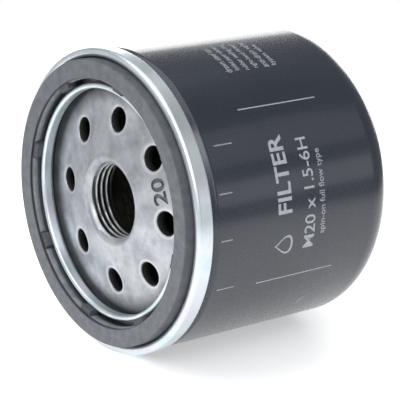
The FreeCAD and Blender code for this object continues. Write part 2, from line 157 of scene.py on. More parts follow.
def roundedLoop(corners, radii, steps=6, longest=2.5):
    # A closed outline whose corners give way to arcs tangent to both sides; long sides are divided, more
    # closely beside an arc.
    corner, radius = np.asarray(corners, float), np.broadcast_to(np.asarray(radii, float), len(corners)).copy()
    back, ahead = np.roll(corner, 1, 0) - corner, np.roll(corner, -1, 0) - corner
    backUnit = back / np.linalg.norm(back, axis=1)[:, None]
    aheadUnit = ahead / np.linalg.norm(ahead, axis=1)[:, None]
    half = np.arccos(np.clip((backUnit * aheadUnit).sum(1), -1, 1)) / 2
    middle = backUnit + aheadUnit
    centre = corner + middle / np.linalg.norm(middle, axis=1)[:, None] * (radius / np.sin(half))[:, None]
    reach = (radius / np.tan(half))[:, None]
    fromCentre, toCentre = corner + backUnit * reach - centre, corner + aheadUnit * reach - centre
    begin = np.arctan2(fromCentre[:, 1], fromCentre[:, 0])
    sweep = (np.arctan2(toCentre[:, 1], toCentre[:, 0]) - begin + np.pi) % (2 * np.pi) - np.pi
    angle = begin[:, None] + sweep[:, None] * np.linspace(0, 1, steps + 1)
    arc = centre[:, None] + radius[:, None, None] * np.stack([np.cos(angle), np.sin(angle)], -1)
    runs = []
    for here, there in zip(arc, np.roll(arc, -1, 0)):  # one pass for each side of the outline
        start, end = here[-1], there[0]
        length = np.linalg.norm(end - start)
        if length > 0.3:
            beside = min(0.12, length / 4) / length
            count = max(int(np.ceil(length / longest)), 1)
            share = np.concatenate([[beside], np.linspace(0, 1, count + 1)[1:-1], [1 - beside]])
            runs.append(np.concatenate([here, start + (end - start) * share[:, None]]))
        else:
            runs.append(here)
    return np.concatenate(runs)


def turnedPiece(name, profile, columns, body, slot):
    # A closed profile carried once round the axis.
    points = onAxis(profile[:, :1], profile[:, 1:], fullTurn(columns)[None, :])
    return addPiece(name, points, gridFaces(len(profile), columns, True, True), body, slot)


def roundTube(path, radius, sides=12):
    # A round wire carried along a path of points in metres, its two ends rounded off to a point.
    path = np.asarray(path, float)
    ahead = np.gradient(path, axis=0)
    ahead /= np.linalg.norm(ahead, axis=1)[:, None]
    side = np.cross(ahead, [0.0, 1.0, 0.0])
    side /= np.linalg.norm(side, axis=1)[:, None]
    over = np.cross(side, ahead)
    angle = fullTurn(sides)[None, :, None]
    ring = np.cos(angle) * side[:, None] + np.sin(angle) * over[:, None]
    body = path[:, None] + radius * ring
    dome = np.linspace(0, np.pi / 2, 5)[1:]
    caps = []
    for end, sign in ((0, -1), (-1, 1)):
        caps.append(path[end] + radius * (
            np.cos(dome)[:, None, None] * ring[end] + sign * np.sin(dome)[:, None, None] * ahead[end]))
    return np.concatenate([caps[0][::-1], body, caps[1]])


def toLinear(hexColour):
    # sRGB hex to the linear colour that the shader wants.
    value = np.array([int(hexColour[i:i + 2], 16) for i in (1, 3, 5)]) / 255
    return (*np.where(value <= 0.04045, value / 12.92, ((value + 0.055) / 1.055) ** 2.4), 1.0)


def addNode(tree, kind, inputs=None, **settings):
    # Adds a node, sets its properties, then gives each input its constant or its link.
    node = tree.nodes.new(kind)
    for key, value in settings.items():
        setattr(node, key, value)
    for key, value in (inputs or {}).items():
        if isinstance(value, bpy.types.NodeSocket):
            tree.links.new(value, node.inputs[key])
        else:
            node.inputs[key].default_value = value
    return node


def scaleFor(size):
    # Texture scale for a pattern whose features are this many mm across, on coordinates in metres.
    return 1000 / size


def newMaterial(name):
    material = bpy.data.materials.new(name)
    material.use_nodes = True
    tree = material.node_tree
    tree.nodes.clear()
    surface = addNode(tree, "ShaderNodeBsdfPrincipled")
    output = addNode(tree, "ShaderNodeOutputMaterial")
    tree.links.new(surface.outputs[0], output.inputs["Surface"])
    place = addNode(tree, "ShaderNodeTexCoord").outputs["Object"]
    return material, tree, surface, place


def noise(tree, place, size, detail=3.0, roughness=0.5, stretch=None):
    if stretch:
        place = addNode(tree, "ShaderNodeMapping", {"Vector": place, "Scale": stretch}).outputs[0]
    return addNode(tree, "ShaderNodeTexNoise", {
        "Vector": place, "Scale": scaleFor(size), "Detail": detail, "Roughness": roughness}).outputs[0]


def ramp(tree, value, *stops):
    # Colours at places along 0 to 1.
    node = addNode(tree, "ShaderNodeValToRGB", {"Fac": value})
    elements = node.color_ramp.elements
    while len(elements) < len(stops):
        elements.new(0.5)
    for element, (position, colour) in zip(elements, stops):
        element.position = position
        element.color = toLinear(colour)
    return node.outputs[0]


def spread(tree, value, low, high, fromLow=0.3, fromHigh=0.7):
    return addNode(tree, "ShaderNodeMapRange", {
        "Value": value, "From Min": fromLow, "From Max": fromHigh, "To Min": low, "To Max": high}).outputs[0]


def relief(tree, height, depth, strength=1.0, under=None):
    inputs = {"Height": height, "Distance": depth * mm, "Strength": strength}
    if under is not None:
        inputs["Normal"] = under
    return addNode(tree, "ShaderNodeBump", inputs).outputs[0]


def connect(tree, surface, **sources):
    # Gives the shader's inputs their constants or links; a trailing word's underscore stands for a space.
    for key, value in sources.items():
        socket = surface.inputs[key.replace("_", " ")]
        if isinstance(value, bpy.types.NodeSocket):
            tree.links.new(value, socket)
        else:
            socket.default_value = value


def mixColour(tree, share, first, second, mode="MIX"):
    node = addNode(tree, "ShaderNodeMix", {"Factor": share}, data_type="RGBA", blend_type=mode)
    for key, value in (("A", first), ("B", second)):
        socket = next(s for s in node.inputs if s.name == key and s.type == "RGBA")
        if isinstance(value, bpy.types.NodeSocket):
            tree.links.new(value, socket)
        else:
            socket.default_value = value
    return next(s for s in node.outputs if s.type == "RGBA")


def stovedEnamel():
    # Stoved grey-black enamel, sprayed on drawn steel: a deep gloss with a faint orange peel and fine dust nibs.
    material, tree, surface, place = newMaterial("stovedEnamel")
    cloud = noise(tree, place, 18, 2)
    peel = noise(tree, place, 1.6, 2)
    dust = noise(tree, place, 0.5, 1)
    colour = ramp(tree, cloud, (0.3, "#242a35"), (0.7, "#29303b"))
    connect(tree, surface, Base_Color=colour, Roughness=spread(tree, dust, 0.24, 0.3), IOR=1.5)
    connect(tree, surface, Coat_Weight=0.5, Coat_Roughness=0.12, Coat_IOR=1.5)
    skin = relief(tree, peel, 0.003, 0.25)
    connect(tree, surface, Normal=skin, Coat_Normal=skin)
    return material


def printedInk():
    # Pale grey pad-printed ink: matt, thin, with a slightly uneven cover.
    material, tree, surface, place = newMaterial("printedInk")
    cover = noise(tree, place, 0.5, 2)
    connect(tree, surface, Base_Color=ramp(tree, cover, (0.3, "#9a9da6"), (0.7, "#b4b7bf")))
    connect(tree, surface, Roughness=spread(tree, cover, 0.45, 0.6), Normal=relief(tree, cover, 0.004, 0.4))
    return material


def zincPlate():
    # Bright zinc plate on rolled sheet: a soft mirror with faint turning marks and a blue and pink passivation tint.
    material, tree, surface, place = newMaterial("zincPlate")
    tint = noise(tree, place, 9, 2)
    marks = noise(tree, place, 0.35, 2, stretch=(0.12, 2.2, 0.12))
    grain = noise(tree, place, 0.3, 2)
    colour = ramp(tree, tint, (0.35, "#d3e0e4"), (0.5, "#dfe8ed"), (0.65, "#e0e0ea"))
    connect(tree, surface, Base_Color=colour, Metallic=0.86, Roughness=spread(tree, grain, 0.3, 0.4))
    connect(tree, surface, Normal=relief(tree, marks, 0.003, 0.15))
    return material


def nitrileGasket():
    # Moulded nitrile rubber, talc-dusted: dull slate grey on the face, with painted shade in the steps and on the
    # nibs and a painted highlight on the ledge.
    material, tree, surface, place = newMaterial("nitrileGasket")
    # a point attribute carries the talc together with painted shade in the steps and on the nibs and a painted
    # highlight on the ledge
    bloom = addNode(tree, "ShaderNodeAttribute", attribute_name="bloom").outputs["Fac"]
    dust = noise(tree, place, 2.4, 4, 0.6)
    grain = noise(tree, place, 0.25, 2)
    patchy = spread(tree, dust, 0.75, 1.0)
    worn = addNode(tree, "ShaderNodeMath", {0: bloom, 1: patchy}, operation="MULTIPLY").outputs[0]
    colour = mixColour(tree, worn, toLinear("#26282b"), ramp(tree, dust, (0.3, "#868a92"), (0.7, "#979ba3")))
    connect(tree, surface, Base_Color=colour, Roughness=spread(tree, grain, 0.5, 0.68), IOR=1.5)
    connect(tree, surface, Normal=relief(tree, grain, 0.012, 0.4))
    return material


def seamLatex():
    # Cured latex lining compound: pale, rubbery and slightly lumpy.
    material, tree, surface, place = newMaterial("seamLatex")
    lump = noise(tree, place, 0.8, 2)
    connect(tree, surface, Base_Color=ramp(tree, lump, (0.3, "#b9ae93"), (0.7, "#cbc1a8")), Roughness=0.55)
    connect(tree, surface, Normal=relief(tree, lump, 0.05, 0.5))
    return material


def pickledSteel():
    # Pickled and oiled steel plate, pressed hot: pale satin grey with blotches, a fine tooth and darker tints; the
    # mesh adds painted shade and painted highlights.
    material, tree, surface, place = newMaterial("pickledSteel")
    blotch = noise(tree, place, 7, 4, 0.6)
    patch = noise(tree, place, 2.2, 3, 0.55)
    tooth = noise(tree, place, 0.22, 2)
    base = ramp(tree, blotch, (0.32, "#a0a3a9"), (0.5, "#b8bbc1"), (0.68, "#cccfd4"))
    colour = mixColour(tree, spread(tree, patch, 0.0, 0.35, 0.5, 0.75), base, toLinear("#8d9095"))
    # point attributes from the mesh: painted shade, with some oil in the bore, darkens towards near black; painted
    # highlights lighten towards near white
    oil = addNode(tree, "ShaderNodeAttribute", attribute_name="oil").outputs["Fac"]
    rubbed = addNode(tree, "ShaderNodeAttribute", attribute_name="rubbed").outputs["Fac"]
    lit = addNode(tree, "ShaderNodeMath", {0: rubbed, 1: 0.5}, operation="MULTIPLY").outputs[0]
    colour = mixColour(tree, lit, colour, toLinear("#f1f2f4"))
    colour = mixColour(tree, oil, colour, toLinear("#171814"))
    connect(tree, surface, Base_Color=colour, Metallic=0.85, Roughness=spread(tree, patch, 0.34, 0.5))
    skin = relief(tree, patch, 0.05, 0.25)
    connect(tree, surface, Normal=relief(tree, tooth, 0.012, 0.35, skin))
    return material


def nitrileValve():
    # Black nitrile, compression moulded: near black with a low sheen and a film of oil in patches.
    material, tree, surface, place = newMaterial("nitrileValve")
    film = noise(tree, place, 3, 3)
    grain = noise(tree, place, 0.3, 2)
    connect(tree, surface, Base_Color=ramp(tree, film, (0.3, "#141512"), (0.7, "#22221b")))
    connect(tree, surface, Roughness=spread(tree, film, 0.35, 0.6), Normal=relief(tree, grain, 0.01, 0.4))
    return material


def tinnedSteel():
    # Tinplate, stamped: bright and cool, with a directional rolled grain and small spangle.
    material, tree, surface, place = newMaterial("tinnedSteel")
    rolled = noise(tree, place, 0.4, 2, stretch=(1.0, 1.0, 0.06))
    spangle = addNode(tree, "ShaderNodeTexVoronoi", {"Vector": place, "Scale": scaleFor(2.5)}).outputs["Color"]
    base = ramp(tree, rolled, (0.3, "#b9bcbf"), (0.7, "#cfd1d3"))
    colour = mixColour(tree, 0.06, base, spangle)
    connect(tree, surface, Base_Color=colour, Metallic=1.0, Roughness=spread(tree, rolled, 0.24, 0.36))
    connect(tree, surface, Normal=relief(tree, rolled, 0.005, 0.3))
    return material


def perforatedStrip():
    # Perforated steel strip, left as rolled: greyer and duller than tinplate, with oil in the grain.
    material, tree, surface, place = newMaterial("perforatedStrip")
    rolled = noise(tree, place, 0.5, 3, stretch=(1.0, 0.08, 1.0))
    oil = noise(tree, place, 6, 3)
    base = ramp(tree, rolled, (0.3, "#8a8570"), (0.7, "#a39d86"))
    colour = mixColour(tree, spread(tree, oil, 0.0, 0.4), base, toLinear("#6d6a62"))
    connect(tree, surface, Base_Color=colour, Metallic=1.0, Roughness=spread(tree, oil, 0.3, 0.45))
    connect(tree, surface, Normal=relief(tree, rolled, 0.01, 0.4))
    return material


def plastisol():
    # Plastisol end-cap adhesive, poured and baked: a glossy brown-grey bed with small bubbles.
    material, tree, surface, place = newMaterial("plastisol")
    flow = noise(tree, place, 4, 3)
    bubble = addNode(tree, "ShaderNodeTexVoronoi", {"Vector": place, "Scale": scaleFor(1.1)}).outputs["Distance"]
    connect(tree, surface, Base_Color=ramp(tree, flow, (0.3, "#5d554b"), (0.7, "#766c5f")), Roughness=0.3)
    connect(tree, surface, Normal=relief(tree, bubble, 0.08, 0.3))
    return material


def resinPaper():
    # Resin-cured filter paper: warm ochre, fibrous, with fine flecks along the fibres.
    material, tree, surface, place = newMaterial("resinPaper")
    fibre = noise(tree, place, 0.5, 4, 0.7, stretch=(1.0, 0.25, 1.0))
    fleck = noise(tree, place, 1.4, 3)
    base = ramp(tree, fibre, (0.3, "#b98f45"), (0.7, "#d6b269"))
    colour = mixColour(tree, spread(tree, fleck, 0.0, 0.4, 0.55, 0.8), base, toLinear("#94702f"))
    connect(tree, surface, Base_Color=colour, Roughness=0.85, Normal=relief(tree, fibre, 0.05, 0.6))
    return material


def springWire():
    # Hard-drawn spring wire: dark polished steel with drawing lines along the wire.
    material, tree, surface, place = newMaterial("springWire")
    drawn = noise(tree, place, 0.6, 2, stretch=(1.0, 5.0, 1.0))
    connect(tree, surface, Base_Color=ramp(tree, drawn, (0.3, "#77797c"), (0.7, "#94979a")), Metallic=1.0)
    connect(tree, surface, Roughness=spread(tree, drawn, 0.22, 0.34), Normal=relief(tree, drawn, 0.005, 0.3))
    return material


finishes = {
    "can_paint": stovedEnamel(),
    "ink": printedInk(),
    "lid_zinc": zincPlate(),
    "gasket_rubber": nitrileGasket(),
    "compound": seamLatex(),
    "plate_steel": pickledSteel(),
    "valve_rubber": nitrileValve(),
    "cap_steel": tinnedSteel(),
    "tube_steel": perforatedStrip(),
    "adhesive": plastisol(),
    "filter_paper": resinPaper(),
    "spring_steel": springWire(),
}
carriedOver = {
    "seam_compound": "compound", "anti_drain_collar": "valve_rubber", "anti_drain_flap": "valve_rubber",
    "lower_end_cap": "cap_steel", "upper_end_cap": "cap_steel", "lower_potting": "adhesive",
    "upper_potting": "adhesive", "centre_tube": "tube_steel", "pleated_media": "filter_paper",
    "media_seam_clip": "tube_steel", "pleat_beads": "adhesive", "bypass_cage": "cap_steel",
    "bypass_disc": "cap_steel", "bypass_seal": "valve_rubber",
}
for node, finish in carriedOver.items():
    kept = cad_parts[node].data
    kept.materials.clear()
    kept.materials.append(finishes[finish])
print("materials made")


can = {
    "outside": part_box("canister")[1].x / mm, "end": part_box("canister")[1].y / mm, "sheet": 0.45,
    "neck": 36.65, "shoulderFrom": 7.0, "shoulderTo": 8.3, "cornerRound": 8.0,
    "hookOutside": 37.5, "hookFrom": 2.6, "hookTo": 5.3, "columns": 192,
}


def canister():
    # A drawn cup: the closed outline of its wall, turned once round the axis, with a pole at each side of the
    # floor.
    c, t = can, can["sheet"]
    corners = [
        (-9, c["end"]), (-9, c["end"] - t),
        (c["outside"] - t, c["end"] - t), (c["outside"] - t, c["shoulderTo"]), (c["neck"] - t, c["shoulderFrom"]),
        (c["neck"] - t, c["hookFrom"]), (c["hookOutside"], c["hookFrom"]), (c["hookOutside"], c["hookTo"]),
        (c["hookOutside"] - t, c["hookTo"]), (c["hookOutside"] - t, c["hookFrom"] + t),
        (c["neck"], c["hookFrom"] + t),
        (c["neck"], c["shoulderFrom"]), (c["outside"], c["shoulderTo"]), (c["outside"], c["end"])]
    radii = [0.02, 0.02, c["cornerRound"] - t, 1.0, 0.6, 0.05, t, 0.1, 0.1, 0.05, 0.1, 0.8, 1.3, c["cornerRound"]]
    loop = roundedLoop(corners, radii, 10, 3.0)
    loop = loop[loop[:, 0] > 0.5]
    outerFloor = loop[:, 1] > c["end"] - t / 2
    seat = int(np.argmin(np.where(outerFloor, loop[:, 0], np.inf)))  # its point nearest the axis
    loop = np.roll(loop, -(seat + 1), 0)
    inner, outer = np.array([[0.0, loop[0, 1]]]), np.array([[0.0, loop[-1, 1]]])
    loop = np.concatenate([inner, loop, outer])
    points = onAxis(loop[:, :1], loop[:, 1:], fullTurn(c["columns"])[None, :])
    piece = addPiece("can_shell", points, gridFaces(len(loop), c["columns"], False, True), "housing", "can_paint")
    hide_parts("canister")


canister()
print("can made")


lid = {
    "sheet": 0.45, "lipInside": 28.1, "lipOutside": 29.5, "lipCrest": 2.2, "lipFoot": 4.6, "grooveFloor": 5.5,
    "grooveOutside": 35.75, "seamOutside": 38.0, "seamCrest": 2.1, "seamEnd": 6.4, "curlInside": 36.7, "columns": 192,
}


def seamingLid():
    # The pressed ring's closed outline, with every bend rounded, turned once round the axis.
    d, t = lid, lid["sheet"]
    corners = [
        (d["lipInside"], d["lipFoot"]), (d["lipInside"], d["lipCrest"]), (d["lipOutside"], d["lipCrest"]),
        (d["lipOutside"], d["grooveFloor"]), (d["grooveOutside"], d["grooveFloor"]),
        (d["grooveOutside"], d["seamCrest"]), (d["seamOutside"], d["seamCrest"]), (d["seamOutside"], d["seamEnd"]),
        (d["curlInside"], d["seamEnd"]), (d["curlInside"], d["seamEnd"] - t),
        (d["seamOutside"] - t, d["seamEnd"] - t), (d["seamOutside"] - t, d["seamCrest"] + t),
        (d["grooveOutside"] + t, d["seamCrest"] + t), (d["grooveOutside"] + t, d["grooveFloor"] + t),
        (d["lipOutside"] - t, d["grooveFloor"] + t), (d["lipOutside"] - t, d["lipCrest"] + t),
        (d["lipInside"] + t, d["lipCrest"] + t), (d["lipInside"] + t, d["lipFoot"])]
    radii = [0.15, 0.63, 0.63, 0.3, 0.3, 1.0, 1.0, 0.45, 0.15, 0.15, 0.05, 0.5, 0.5, 0.7, 0.7, 0.2, 0.2, 0.15]
    piece = turnedPiece("lid_ring", roundedLoop(corners, radii, 7, 1.0), d["columns"], "housing", "lid_zinc")
    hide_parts("seaming_lid")


seamingLid()
print("lid made")


gasket = {
    "outside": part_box("sealing_gasket")[1].x / mm, "inside": 31.0, "height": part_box("sealing_gasket")[1].y / mm,
    "innerRound": 0.3, "outerRound": 0.4, "wallRows": 44, "columnsPerNib": 64,
    "nibCount": 8, "nibWidth": 3.9, "nibTop": 0.75, "nibRise": 0.3, "nibReach": 29.6, "nibAt": 75.6,
    "ledgeFrom": 0.75, "ledgeTo": 2.45, "ledgeProud": 0.4, "dip": 0.3, "dipAt": 0.55, "dipWide": 0.16,
    # the ledge's talc value holds a painted highlight, and the nibs' loss of talc is painted shade
    "talcOnFace": 0.54, "ledgeTalcAndHighlight": 0.75, "talcOnSide": 0.3, "nibPaintedShade": 0.7,
}


def sealingGasket():
    # A ring whose inner side carries a half-round ledge, broken by nibs: the outline's inner points move between
    # the ledge's shape and the nib's with the angle from the nearest nib.
    g = gasket
    inner, height, small = g["inside"], g["height"], g["innerRound"]
    corners = [(inner, 0), (g["outside"], 0), (g["outside"], height), (inner, height)]
    ring = roundedLoop(corners, [small, g["outerRound"], small, small], 6, 0.9)
    outer = ring[(ring[:, 0] > inner + 1e-6) | (ring[:, 1] < small - 1e-6) | (ring[:, 1] > height - small + 1e-6)]
    start = int(np.argmin(np.abs(outer[:, 0] - inner) + np.abs(outer[:, 1] - small)))
    outer = np.roll(outer, -start, 0)
    depth = np.linspace(height - small, small, g["wallRows"])[1:-1]
    loop = np.concatenate([outer, np.stack([np.full_like(depth, inner), depth], -1)])
    onWall = (np.arange(len(loop)) >= len(outer))[:, None]

    # columns lie close together beside a nib's two sides and further apart between nibs
    pitch = 360 / g["nibCount"]
    half = np.degrees(g["nibWidth"] / 2 / inner)
    share = np.linspace(-1, 1, g["columnsPerNib"] + 1)[:-1]
    local = np.sign(share) * np.interp(np.abs(share), [0, 0.3, 0.55, 1], [0, half * 0.86, half * 1.16, pitch / 2])
    angle = (local[None, :] + (g["nibAt"] + pitch * np.arange(g["nibCount"]))[:, None]).ravel()
    away = np.abs(np.tile(local, g["nibCount"]))[None, :] / half  # 1 at a nib's side

    y = loop[:, 1:]
    along = np.clip((y - g["ledgeFrom"]) / (g["ledgeTo"] - g["ledgeFrom"]), 0, 1)
    bulge = np.sqrt(np.clip(4 * along * (1 - along), 0, 1)) * g["ledgeProud"]
    dip = g["dip"] * np.exp(-((y - g["dipAt"]) / g["dipWide"]) ** 2)
    ledge = inner + dip - bulge * smoothStep((away - 1.1) / 0.35)
    rise = smoothStep((y - g["nibTop"] + 0.12) / g["nibRise"])
    tip = inner + dip * (1 - rise) + (g["nibReach"] - inner) * rise
    nib = smoothStep((1.1 - away) / 0.2)
    points = onAxis(np.where(onWall, ledge * (1 - nib) + tip * nib, loop[:, :1]), y, np.radians(angle)[None, :])
    faces = gridFaces(len(loop), len(angle), True, True)
    piece = addPiece("gasket_ring", points, faces, "housing", "gasket_rubber", sharp=50)

    # talc lies on the face, thinner on the sides; the ledge is lighter as a painted highlight, and the nibs, the dip
    # and the wall below the ledge are darker as painted shade
    points = pointsOf(piece.data) / mm
    r, y = np.hypot(points[:, 0], points[:, 2]), points[:, 1]
    turn = (np.degrees(np.arctan2(points[:, 2], points[:, 0])) - g["nibAt"] + pitch / 2) % pitch - pitch / 2
    onNib = np.clip((half * 1.25 - np.abs(turn)) / (half * 0.2), 0, 1) * (r < inner + 0.35) * (y > 0.2)
    onFace = g["talcOnFace"] * np.clip(1 - y / 0.3, 0, 1)
    onLedge = g["ledgeTalcAndHighlight"] * np.clip((inner - r + 0.05) / 0.15, 0, 1) * (y > 0.6) * (y < 3.2)
    onSide = g["talcOnSide"] * (r > inner + 1)
    bloom = np.maximum(np.maximum(onFace, onLedge), onSide)
    paintPoints(piece.data, "bloom", bloom * (1 - g["nibPaintedShade"] * onNib))
    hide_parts("sealing_gasket")


sealingGasket()
print("gasket made")


plate = {
    "bore": 9.188, "threadDeep": 0.812, "pitch": 1.5, "slope": np.tan(np.radians(11.5)), "top": 5.95, "under": 8.95,
    "dish": 23.2, "dishUnder": 22.9, "dishBlend": 0.7, "inletCircle": 20.6, "inletRadius": 3.0, "inletAt": 42.0,
    "inletCount": 8, "rim": 34.5, "rimRound": 0.8, "mouthRound": 2.0, "hub": 12.75, "hubEnd": 10.8,
    "innerRow": 16.4, "outerRow": 24.8, "samples": 32, "holeRound": 0.35, "fanRows": 8, "bendRows": 6,
    "crestShare": 0.14, "flankShare": 0.76,
}


def plateTop(radius):
    # Level outside the dish, a straight cone inside it, and a parabola that blends the two.
    return dished(radius, plate["top"], plate["dish"])


def plateUnder(radius):
    return dished(radius, plate["under"], plate["dishUnder"])


def dished(radius, level, dish):
    inside, blend = dish - radius, plate["dishBlend"]
    eased = np.where(inside > blend, inside, np.clip(inside + blend, 0, None) ** 2 / (4 * blend))
    return level - plate["slope"] * eased


def tappingPlate():
    # Ten surfaces that share their edges: eight pierced sectors, in which rows run from the sector's border to the
    # hole's edge, through the wall and back out below; an outer rim; and a hub whose bore is cut by a screw thread.
    p = plate
    n = p["samples"]
    sector = 2 * np.pi / p["inletCount"]
    turn = np.radians(p["inletAt"]) - sector / 2 + fullTurn(n * p["inletCount"])
    r0, r1 = p["outerRow"], p["innerRow"]
    points, faces = [], []

    def keep(grid):
        start = sum(len(part) for part in points)
        points.append(grid.reshape(-1, 3))
        faces.append(gridFaces(grid.shape[0], grid.shape[1], False, True, start))

    # border of one sector as (radius, angle), sampled evenly on its four sides
    side = np.arange(n) / n
    border = np.concatenate([
        np.stack([np.full(n, r1), (side - 0.5) * sector], -1),
        np.stack([r1 + side * (r0 - r1), np.full(n, sector / 2)], -1),
        np.stack([np.full(n, r0), (0.5 - side) * sector], -1),
        np.stack([r0 - side * (r0 - r1), np.full(n, -sector / 2)], -1)])
    middle = np.array([p["inletCircle"], 0])
    flat = border[:, :1] * np.stack([np.cos(border[:, 1]), np.sin(border[:, 1])], -1) - middle
    ray = flat / np.linalg.norm(flat, axis=1)[:, None]
    burr = p["holeRound"]
    edge = (p["inletRadius"] + burr) * ray
    bend = np.linspace(0, np.pi / 2, p["bendRows"])
    outward = np.concatenate([np.linspace(1, 0, p["fanRows"] + 1)[:-1] ** 1.5, np.zeros(len(bend))])[:, None, None]
    inward = np.concatenate([np.zeros(p["fanRows"]), burr * np.sin(bend)])[:, None, None]
    drop = np.concatenate([np.zeros(p["fanRows"]), burr * (1 - np.cos(bend))])[:, None]
    local = edge + (flat - edge) * outward - ray * inward + middle
    radius, angle = np.hypot(local[..., 0], local[..., 1]), np.arctan2(local[..., 1], local[..., 0])
    for index in range(p["inletCount"]):
        spun = angle + np.radians(p["inletAt"]) + index * sector
        top = onAxis(radius, plateTop(radius) + drop, spun)
        under = onAxis(radius, plateUnder(radius) - drop, spun)
        keep(np.concatenate([top, under[::-1]]))

    # outer rim, from the sectors' outer border round the edge and back
    corners = [(r0 - 4, p["top"]), (p["rim"], p["top"]), (p["rim"], p["under"]), (r0 - 4, p["under"])]
    rim = roundedLoop(corners, [0.01, 0.3, p["rimRound"], 0.01], 8, 0.8)
    rim = np.concatenate([[(r0, plateTop(r0))], rim[rim[:, 0] > r0 + 0.02], [(r0, plateUnder(r0))]])
    keep(onAxis(rim[:, :1], rim[:, 1:], turn[None, :]))

    # hub: cone, mouth, threaded bore, end face, outside and underside
    bore, past = p["bore"], r1 + 0.4
    corners = [(past, plateTop(past)), (bore, plateTop(bore)), (bore, p["hubEnd"]), (p["hub"], p["hubEnd"]),
               (p["hub"], plateUnder(p["hub"])), (past, plateUnder(past))]
    hub = roundedLoop(corners, [0.01, p["mouthRound"], 0.35, 0.35, 0.2, 0.01], 14, 0.1)
    hub = np.concatenate([[(r1, plateTop(r1))], hub[hub[:, 0] < r1 - 0.02], [(r1, plateUnder(r1))]])
    # the groove is a triangle wave of depth over pitch less the turn, with a flat crest and a narrow root
    wave = np.abs(((hub[:, 1:] / p["pitch"] - turn[None, :] / (2 * np.pi)) % 1 - 0.5) * 2)
    groove = np.clip((wave - p["crestShare"]) / p["flankShare"], 0, 1) * p["threadDeep"]
    inBore = (hub[:, :1] < bore + 1.5) & (hub[:, 1:] > plateTop(bore) + 1)
    fade = np.clip((p["hubEnd"] - hub[:, 1:]) / 0.4, 0, 1)
    cut = np.maximum(bore + groove * fade - hub[:, :1], 0) * inBore
    keep(onAxis(hub[:, :1] + cut, hub[:, 1:], turn[None, :]))
    return np.concatenate(points), np.concatenate(faces)


sizeStamp = {"text": "20", "radius": 19.3, "angle": 19.0, "height": 4.4, "width": 6.5, "deep": 0.35, "bold": 0.03}


def flatText(text, thick, bold=0.0):
    # The letters as a mesh: x along the line, y up, thick about z = 0, both extents measured from 0 to 1.
    line = bpy.data.curves.new("letters", "FONT")
    line.body, line.size, line.extrude, line.offset, line.resolution_u = text, 1.0, 0.5, bold, 4
    holder = bpy.data.objects.new("letters", line)
    bpy.context.scene.collection.objects.link(holder)
    bpy.context.view_layer.update()
    mesh = bpy.data.meshes.new_from_object(holder.evaluated_get(bpy.context.evaluated_depsgraph_get()))
    bpy.data.objects.remove(holder)
    bpy.data.curves.remove(line)
    points = pointsOf(mesh)
    low, high = points.min(0), points.max(0)
    points[:, :2] = (points[:, :2] - low[:2]) / (high[:2] - low[:2])
    points[:, 2] *= thick
    return setPoints(mesh, points)


def stampedPlate():
    p, s = plate, sizeStamp
    points, faces = tappingPlate()
    piece = addPiece("threaded_plate", points, faces, None, "plate_steel", sharp=32)
    digits = flatText(s["text"], s["deep"] * 2, s["bold"])
    points = pointsOf(digits)
    along, up = (points[:, 0] - 0.5) * s["width"], (points[:, 1] - 0.5) * s["height"]
    a = np.radians(s["angle"])
    x = (s["radius"] - up) * np.cos(a) - along * np.sin(a)
    z = (s["radius"] - up) * np.sin(a) + along * np.cos(a)
    depth = plateTop(np.hypot(x, z)) - points[:, 2]
    setPoints(digits, np.stack([x, depth, z], -1) * mm)
    punch = bpy.data.objects.new("punch", welded("punch", [digits]))
    bpy.context.scene.collection.objects.link(punch)
    press = piece.modifiers.new("stamp", "BOOLEAN")
    press.operation, press.object, press.solver = "DIFFERENCE", punch, "EXACT"
    bpy.context.view_layer.update()
    stamped = bpy.data.meshes.new_from_object(piece.evaluated_get(bpy.context.evaluated_depsgraph_get()))
    bpy.data.objects.remove(punch)
    bpy.data.objects.remove(piece)
    piece = finishMesh("threaded_plate", stamped, "housing", finishes["plate_steel"], 32)

    # painted shade lies in the holes, the stamp, the thread's roots and against the lip, and deep in the bore with
    # some oil; painted highlights lie on the holes' edges and the thread's crests
    points = pointsOf(stamped) / mm
    r, y = np.hypot(points[:, 0], points[:, 2]), points[:, 1]
    turn = np.degrees(np.arctan2(points[:, 2], points[:, 0]))
    pitch = 360 / p["inletCount"]
    away = np.radians((turn - p["inletAt"] + pitch / 2) % pitch - pitch / 2)
    fromHole = np.hypot(r * np.cos(away) - p["inletCircle"], r * np.sin(away)) - p["inletRadius"]
    sunk = y - plateTop(r)
    inBore = (r < p["bore"] + 1) & (y > 4.6)
    # painted shade in the thread's roots, deep in the bore with some oil, in the holes' walls and in the stamp's
    # recess
    root = np.clip((r - p["bore"] - 0.08) / 0.35, 0, 1) * np.clip((y - 4.9) / 0.6, 0, 1)
    deep = np.clip((y - 8.6) / 1.6, 0, 1)
    pooled = np.clip((sunk - 0.12) / 0.35, 0, 1) * (r > p["bore"] + p["mouthRound"])
    grime = 0.8 * np.clip((r - 23.0) / 4.6, 0, 1) ** 1.3  # painted shade against the lip
    # painted highlights: a ring at each hole's edge and on the thread's crests
    bright = np.exp(-((fromHole - 0.5) / 0.3) ** 2) * (sunk < 0.25)
    crest = np.clip((p["bore"] + 0.15 - r) / 0.1, 0, 1) * inBore * (1 - deep)
    paintPoints(stamped, "oil", np.maximum(np.where(inBore, np.maximum(root, deep), pooled), grime))
    paintPoints(stamped, "rubbed", np.maximum(bright, crest))
    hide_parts("tapping_plate")


stampedPlate()
print("plate made")


